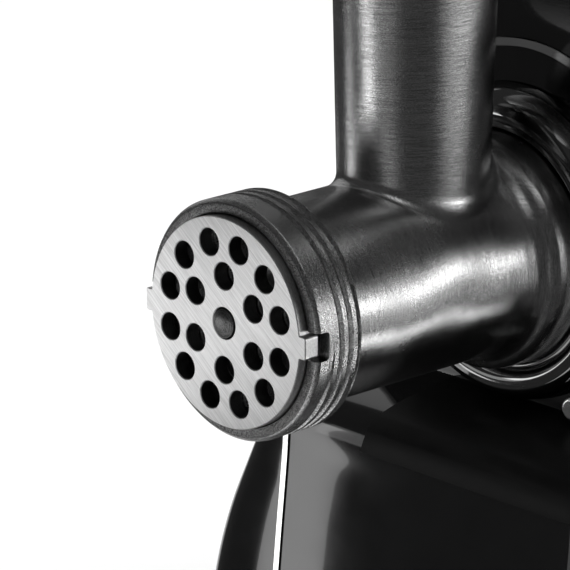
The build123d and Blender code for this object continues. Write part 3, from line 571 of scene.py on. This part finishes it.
# ================================================================ hole plate
def flat_plate(name, outlines, front, thick, chamfer, paint):
    """Flat part from one outline and its holes, all anticlockwise, with both faces chamfered."""
    work = bmesh.new()
    rims = {0: [], 3: []}
    for k, outline in enumerate(outlines):
        outline = np.asarray(outline, float)
        along = np.roll(outline, -1, 0) - np.roll(outline, 1, 0)
        along /= np.linalg.norm(along, axis=1)[:, None]
        inward = np.stack([-along[:, 1], along[:, 0]], 1) * (chamfer if k == 0 else -chamfer)
        back = front + thick
        levels = ((front, inward), (front + chamfer, 0), (back - chamfer, 0), (back, inward))
        loops = []
        for depth, shift in levels:
            flat = outline + shift
            solid = np.stack([flat[:, 0], np.full(len(flat), depth), flat[:, 1]], 1)
            loops.append([work.verts.new(v) for v in place(solid)])
        count = len(outline)
        for low, high in zip(loops, loops[1:]):
            for i in range(count):
                j = (i + 1) % count
                work.faces.new((low[i], low[j], high[j], high[i]))
        for end in rims:
            rims[end] += [work.edges.get((loops[end][i], loops[end][(i + 1) % count])) for i in range(count)]
    for edges in rims.values():
        bmesh.ops.triangle_fill(work, edges=edges, use_beauty=True, use_dissolve=False, normal=(0, -1, 0))
    mesh = bpy.data.meshes.new(name)
    work.to_mesh(mesh)
    work.free()
    return dress(name, mesh, paint, 30.0)


def plate_outline():
    """Round plate with a lug on each side, as half an outline repeated after a half turn."""
    half = asin(LUG_WIDE / 2 / PLATE_R)
    wide, corner = LUG_WIDE / 2, 0.8
    points = [(PLATE_R * cos(t), PLATE_R * sin(t)) for t in np.linspace(half, pi - half, 300)]
    for start, height in ((pi / 2, wide - corner), (pi, corner - wide)):
        for t in np.linspace(start, start + pi / 2, 7):
            points.append((corner - LUG_REACH + corner * cos(t), height + corner * sin(t)))
    return points + [(-x, -y) for x, y in points]


def plate_holes():
    holes = [ring_of(4.6, 64)]
    for count, radius, start in ((12, 23.6, 15), (6, 13.95, 30)):
        for i in range(count):
            turn = radians(start + 360 / count * i)
            holes.append(ring_of(HOLE_R, 64, radius * cos(turn), radius * sin(turn)))
    return holes


outlines = [plate_outline(), *plate_holes()]
hole_disc = flat_plate("hole_disc", outlines, PLATE_FRONT, PLATE_THICK, 0.25, paints["plate_steel"])
# the walls of the holes get the near-black copy, which paints shade inside them
hole_disc.data.materials.append(paints["hole_walls_shaded"].mat)
for face in hole_disc.data.polygons:
    x, _, z = (face.center - Vector((0, RIM, AXIS))) / MM
    if abs(face.normal.y) < 0.3 and sqrt(x * x + z * z) < PLATE_R - 1:
        face.material_index = 1
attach(hole_disc, "plate")
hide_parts("hole_plate")

# ================================================================ collar ring
FACE = 118.0  # depth of the panel round the collar
collar_arc = []
for t in np.linspace(0, 1, 18):
    turn = t * pi / 2
    collar_arc.append((FACE - 0.4 - 10.2 * sin(turn) ** 1.15, 49.3 - 5.3 * (1 - cos(turn))))
collar_outline = collar_arc + [(107.35, 43.2), (107.2, 42.3), (107.3, 41.2), (107.8, 39.9)]
collar_outline += [(108.6, 38.9), (109.25, 38.35), (109.05, 37.9), (108.95, 37.4), (109.15, 36.95)]
collar_outline += [(109.8, 36.7), (111.7, 36.7), (111.7, 43.2)]
collar_outline += [(FACE + 3.9, 43.2), (FACE + 3.9, 44.8), (FACE - 0.4, 44.8)]
collar = lathe("collar_chrome", collar_outline, paints["dark_chrome"], 360, sharp=40.0)
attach(collar, "machine")
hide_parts("collar_ring")

# ================================================================ body shell
# level above the axis, front and back behind the rim, half width, corner radius,
# then how much an inset of 1 mm moves the sides and back, and the front
BODY_LEVELS = np.array([
    (-212, 64, 289, 105, 16, 1.0, 1.0),
    (-150, 71.5, 294, 101.5, 16, 1.0, 1.0),
    (-118, 74.5, 296, 97, 15, 1.0, 1.0),
    (-98, 76.5, 296, 91.5, 14, 1.1, 1.0),
    (-84, 78, 296, 86.2, 14, 1.1, 1.0),
    (-74, 79, 296, 82.4, 14, 1.1, 1.0),
    (-66, 79.6, 296, 79.9, 14, 1.0, 1.1),
    (-60, 81.5, 296, 78.3, 14, 1.0, 1.6),
    (-56, 86, 296, 77.4, 14, 1.0, 3.2),
    (-53, 97, 296, 76.9, 14, 1.0, 5.5),
    (-51, 110, 296, 76.5, 15, 1.0, 3.6),
    (-49.8, 118, 296, 76.4, 15, 1.0, 1.0),
    (-25, 118, 296, 75, 15, 1.0, 1.0),
    (15, 118, 294, 74.5, 16, 1.0, 1.0),
    (45, 118.5, 288, 71, 18, 1.0, 1.0),
    (62, 122, 278, 63, 20, 1.2, 1.2),
    (73, 129, 266, 52, 22, 1.6, 1.6),
    (79, 139, 250, 38, 22, 2.0, 2.0),
    (81, 152, 232, 22, 16, 2.0, 2.0),
])


def smooth_through(at, known, values):
    """Monotone cubic curve through (known, values)."""
    gap = np.diff(known)
    rise = np.diff(values) / gap
    slope = np.zeros(len(known))
    both = rise[:-1] * rise[1:] > 0
    w1, w2 = 2 * gap[1:] + gap[:-1], gap[1:] + 2 * gap[:-1]
    safe_a = np.where(both, rise[:-1], 1)
    safe_b = np.where(both, rise[1:], 1)
    slope[1:-1] = np.where(both, (w1 + w2) / (w1 / safe_a + w2 / safe_b), 0)
    slope[0], slope[-1] = rise[0], rise[-1]
    i = np.clip(np.searchsorted(known, at) - 1, 0, len(gap) - 1)
    t = (at - known[i]) / gap[i]
    h = gap[i]
    return (
        (1 + 2 * t) * (1 - t) ** 2 * values[i]
        + t * (1 - t) ** 2 * h * slope[i]
        + t * t * (3 - 2 * t) * values[i + 1]
        + t * t * (t - 1) * h * slope[i + 1]
    )


def body_rows(bottom):
    """Levels of the body's mesh rows, close together where its outline bends."""
    runs = ((bottom, -84, 30), (-84, -60, 16), (-60, -49.8, 42), (-49.8, 30, 18))
    rows = [np.linspace(low, high, count)[:-1] for low, high, count in runs]
    return np.concatenate([*rows, np.linspace(30, 81, 42)])


def body_solid(name, inset, side_steps=14, corner_steps=10):
    """Closed lofted body drawn inward by inset, cut off flat at the bottom."""
    known = BODY_LEVELS[:, 0]
    section = []
    for level in body_rows(BODY_BASE - AXIS / MM):
        at = np.array([level])
        values = [smooth_through(at, known, BODY_LEVELS[:, k])[0] for k in range(1, 7)]
        front, back, half, corner, slope, lean = values
        wall = inset * slope
        drop = inset if level > 60 else inset * max(0, (level - 40) / 20)
        front, back, half = front + inset * lean, back - wall, half - wall
        corner = max(corner - inset, 2.0)
        ring = []
        side, near, far = half - corner, front + corner, back - corner
        centres = ((side, near, -90), (side, far, 0), (-side, far, 90), (-side, near, 180))
        for i, (cx, cy, start) in enumerate(centres):
            for t in range(corner_steps + 1):
                turn = radians(start + 90 * t / corner_steps)
                ring.append((cx + corner * cos(turn), cy + corner * sin(turn)))
            nx, ny, nstart = centres[(i + 1) % 4]
            begin = np.array(ring[-1])
            finish = np.array((nx + corner * cos(radians(nstart)), ny + corner * sin(radians(nstart))))
            for t in range(1, side_steps):
                ring.append(tuple(begin + (finish - begin) * t / side_steps))
        section.append([(x, y, level - drop) for x, y in ring])
    section = np.array(section)
    rows, columns = section.shape[:2]
    faces = grid_faces(rows, columns)
    faces.append(tuple(range(columns - 1, -1, -1)))
    top_ring = section[-1]
    verts = [section.reshape(-1, 3)]
    last = (rows - 1) * columns
    middle = top_ring.mean(0)
    for k, share in enumerate((0.8, 0.55, 0.25)):
        inner = middle + (top_ring - middle) * share
        inner[:, 2] = top_ring[:, 2] + 0.5 * (1 - share**2) * 0.4
        verts.append(inner)
        base = rows * columns + k * columns
        for j in range(columns):
            m = (j + 1) % columns
            faces.append((last + j, last + m, base + m, base + j))
        last = base
    faces.append(tuple(range(last, last + columns)))
    return piece(name, np.concatenate(verts), faces, paints["black_gloss"])


def arch_outline(half, bottom, count=120):
    turns = np.linspace(0, pi, count)
    top = [(half * cos(t), half * sin(t)) for t in turns]
    return [*top, (-half, bottom), (half, bottom)]


def copy_of(made, name):
    other = made.copy()
    other.data = made.data.copy()
    other.name = name
    bpy.context.scene.collection.objects.link(other)
    return other


LEG_END = 15.0 - AXIS / MM
outer = body_solid("shell_outer", 0.0)
inner = body_solid("shell_inner", SKIN)
inner_open = block("inner_open", (-98, 72, -AXIS / MM - 5), (98, 285, -185))
boolean(inner, "UNION", inner_open)
shell = boolean(copy_of(outer, "shell_work"), "DIFFERENCE", inner, keep=True)

gloss_front = copy_of(shell, "gloss_panel")
panel_arch = prism("panel_arch", arch_outline(PANEL_HALF, LEG_END), 30, 135)
boolean(gloss_front, "INTERSECT", panel_arch)
holes = [prism("cut_collar", ring_of(45.2, 180), 20, 140)]
for name in ("start_button", "reverse_button", "release_button"):
    low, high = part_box(name)
    extra = 1.6 if "release" not in name else 1.0
    flange = 1.0 if "release" not in name else 0.8
    radius = (high.x - low.x) / 2 / MM - flange
    x, z = (low.x + high.x) / 2 / MM, ((low.z + high.z) / 2 - AXIS) / MM
    holes.append(prism("cut_" + name, ring_of(radius + extra, 72, x, z), 20, 140))
boolean(gloss_front, "DIFFERENCE", *holes)
ledge_paint = moulded("black_satin_ledge", (0.004, 0.004, 0.004), 0.42, 2200, 0.2)
ledge_paint.shader.inputs["Specular IOR Level"].default_value = 0.15
gloss_front.data.materials.append(ledge_paint.mat)
for face in gloss_front.data.polygons:
    level = (face.center.z - AXIS) / MM
    if face.normal.z > 0.05 and -67 < level < -46 and face.center.x > -28 * MM:
        face.material_index = 1
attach(gloss_front, "machine")
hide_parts("front_panel")

trim = body_solid("bright_arch", -TRIM_PROUD)
trim_inner = body_solid("trim_inner", SKIN - TRIM_PROUD)
boolean(trim, "DIFFERENCE", trim_inner)
trim_arch = prism("trim_arch", arch_outline(PANEL_HALF + TRIM_GAP + TRIM_WIDE, LEG_END), 30, 135)
trim_hole = prism("trim_hole", arch_outline(PANEL_HALF + TRIM_GAP, LEG_END - 40), 20, 145)
boolean(trim, "INTERSECT", trim_arch)
boolean(trim, "DIFFERENCE", trim_hole)
trim.data.materials.clear()
trim.data.materials.append(paints["bright_trim"].mat)
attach(trim, "machine")
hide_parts("panel_trim")

housing = copy_of(shell, "gloss_housing")
housing_arch = prism("housing_arch", arch_outline(PANEL_HALF + 2 * TRIM_GAP + TRIM_WIDE, LEG_END), 20, 135)
behind = block("behind", (-150, SEAM, -260), (150, SEAM + 90, 140))
boolean(housing, "DIFFERENCE", housing_arch, behind)
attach(housing, "machine")
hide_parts("main_housing")

cover = shell
cover.name = "satin_rear_cover"
before = block("before", (-150, -50, -260), (150, SEAM + 0.35, 140))
boolean(cover, "DIFFERENCE", before)
VENT_HALF = 1.8
vents = []
for i in range(9):
    height = -45 + 9 * (i - 4)
    low, high = height - VENT_HALF, height + VENT_HALF
    slot_shape = rounded([(-42, low, 1.7), (42, low, 1.7), (42, high, 1.7), (-42, high, 1.7)], 6)
    vents.append(prism(f"vent_{i}", slot_shape, 275, 320))
vents.append(prism("vent_cord", ring_of(8.2, 72, 42, -160), 275, 320))
boolean(cover, "DIFFERENCE", *vents)
cover.data.materials.clear()
cover.data.materials.append(paints["black_satin"].mat)
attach(cover, "machine")
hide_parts("rear_cover")
for left in (outer, inner):
    bpy.data.objects.remove(left)

# ================================================================ CAD nodes that stay, with their finishes
SLOTS = {row["node"]: row["material_slot"] for row in frame["record"]["subparts"]}
replaced = {"grinding_head", "hole_plate", "collar_ring"}
replaced |= {"front_panel", "panel_trim", "main_housing", "rear_cover"}
softened = {"knife": 0.25, "screw_stub": 0.2, "base_plate": 0.5}  # bevel widths, mm
softened |= {"start_button": 0.8, "reverse_button": 0.8, "start_bezel": 0.4, "reverse_bezel": 0.4}
for name, node in frame["nodes"].items():
    if name in replaced:
        continue
    for material_slot in node.material_slots:
        material_slot.link = "OBJECT"
        material_slot.material = paints[SLOTS[name]].mat
    if name in softened:
        bevel = node.modifiers.new("soft_edges", "BEVEL")
        bevel.width = softened[name] * MM
        bevel.segments = 3
        bevel.limit_method = "ANGLE"
        bevel.angle_limit = radians(40)

# ================================================================ floor, lights, camera
AZIMUTH, ELEVATION = radians(46.56), radians(17.16)
FOCAL_PIXELS, FRAME_PIXELS = 3700.0, 570.0
DISTANCE = 1.0499
AIM_RIGHT, AIM_DOWN = -53.25, 36.18  # where the rim's middle stands from the picture's middle

centre = Vector((0, RIM, AXIS))
back = Vector((sin(AZIMUTH) * cos(ELEVATION), -cos(AZIMUTH) * cos(ELEVATION), sin(ELEVATION)))
forward = -back
right = forward.cross(Vector((0, 0, 1))).normalized()
up = right.cross(forward)
camera = bpy.data.objects.new("camera", bpy.data.cameras.new("camera"))
bpy.context.scene.collection.objects.link(camera)
camera.data.sensor_width = 36.0
camera.data.lens = FOCAL_PIXELS / FRAME_PIXELS * camera.data.sensor_width
aside = right * (AIM_RIGHT / FOCAL_PIXELS * DISTANCE)
above = up * (AIM_DOWN / FOCAL_PIXELS * DISTANCE)
camera.location = centre - forward * DISTANCE - aside + above
camera.rotation_euler = Matrix((right, up, back)).transposed().to_euler()
camera.data.clip_start, camera.data.clip_end = 0.05, 60.0
bpy.context.scene.camera = camera

floor_paint = Paint("floor_pale", Roughness=0.9)
floor_cloud = floor_paint.noise(floor_paint.coords, 1.5, 2.0)
floor_paint.feed("Base Color", floor_paint.tones(floor_cloud, grey(0.88), grey(0.92)))
floor_mesh = bpy.data.meshes.new("floor")
REACH, UNDER = 9.0, -0.0003
corners = [(x * REACH, y * REACH, UNDER) for x, y in ((-1, -1), (1, -1), (1, 1), (-1, 1))]
floor_mesh.from_pydata(corners, [], [(0, 1, 2, 3)])
floor_mesh.materials.append(floor_paint.mat)
floor = bpy.data.objects.new("floor", floor_mesh)
bpy.context.scene.collection.objects.link(floor)
floor.visible_glossy = False
floor.visible_shadow = False

world = bpy.data.worlds.new("studio")
world.use_nodes = True
dim = world.node_tree.nodes["Background"]
dim.inputs["Color"].default_value = (0.06, 0.06, 0.06, 1)
pale = world.node_tree.nodes.new("ShaderNodeBackground")
pale.inputs["Color"].default_value = (1, 1, 1, 1)
seen = world.node_tree.nodes.new("ShaderNodeMixShader")
rays = world.node_tree.nodes.new("ShaderNodeLightPath")
world.node_tree.links.new(rays.outputs["Is Camera Ray"], seen.inputs[0])
world.node_tree.links.new(dim.outputs[0], seen.inputs[1])
world.node_tree.links.new(pale.outputs[0], seen.inputs[2])
world.node_tree.links.new(seen.outputs[0], world.node_tree.nodes["World Output"].inputs[0])
bpy.context.scene.world = world
bpy.context.scene.view_settings.view_transform = "Standard"
SUBJECT = Vector((0, RIM + 60 * MM, AXIS))


def softbox(name, azimuth, elevation, wide, high, radiance, distance=1.6, glossy=True, about=SUBJECT):
    """Area light on a sphere round a point, by its angles and angular size; azimuth as the camera's."""
    a, e = radians(azimuth), radians(elevation)
    way = Vector((sin(a) * cos(e), -cos(a) * cos(e), sin(e)))
    light = bpy.data.lights.new(name, "AREA")
    light.shape = "RECTANGLE"
    light.size = 2 * distance * tan(radians(wide / 2))
    light.size_y = 2 * distance * tan(radians(high / 2))
    light.energy = radiance * pi * light.size * light.size_y
    holder = bpy.data.objects.new(name, light)
    holder.location = about + way * distance
    holder.rotation_euler = way.to_track_quat("Z", "Y").to_euler()
    holder.visible_camera = False
    holder.visible_glossy = glossy
    bpy.context.scene.collection.objects.link(holder)
    return holder


softbox("floor_wash", 0, 89.9, 90, 90, 1.9, 5.0, False)
softbox("plate_card", -47, -17, 56, 24, 0.72, 0.15, about=Vector((0, RIM, AXIS)))
softbox("panel_card", -45, -6, 5, 40, 2.4, 0.3, about=Vector((-44 * MM, RIM + 79 * MM, AXIS - 70 * MM)))
softbox("tube_core", -8, -17, 15, 22, 2.3, 1.5)
softbox("tube_wide", 8, -15, 60, 18, 0.32, 1.7)
softbox("right_wide", 138, -2, 66, 34, 0.6, 1.7)
softbox("right_core", 130, 2, 18, 10, 3.5, 1.5)
softbox("right_streak", 146, -30, 26, 9, 3.6, 1.5)
softbox("back_edge", 172, 22, 16, 36, 1.1)
softbox("low_rear", -140, -40, 70, 46, 0.5)
softbox("low_front", -20, -50, 60, 28, 0.9)
softbox("high_right", 66, 58, 30, 16, 0.9)
softbox("top_card", 0, 86, 30, 30, 0.45, 2.0)
softbox("rear_card", 255, 24, 50, 30, 0.4)
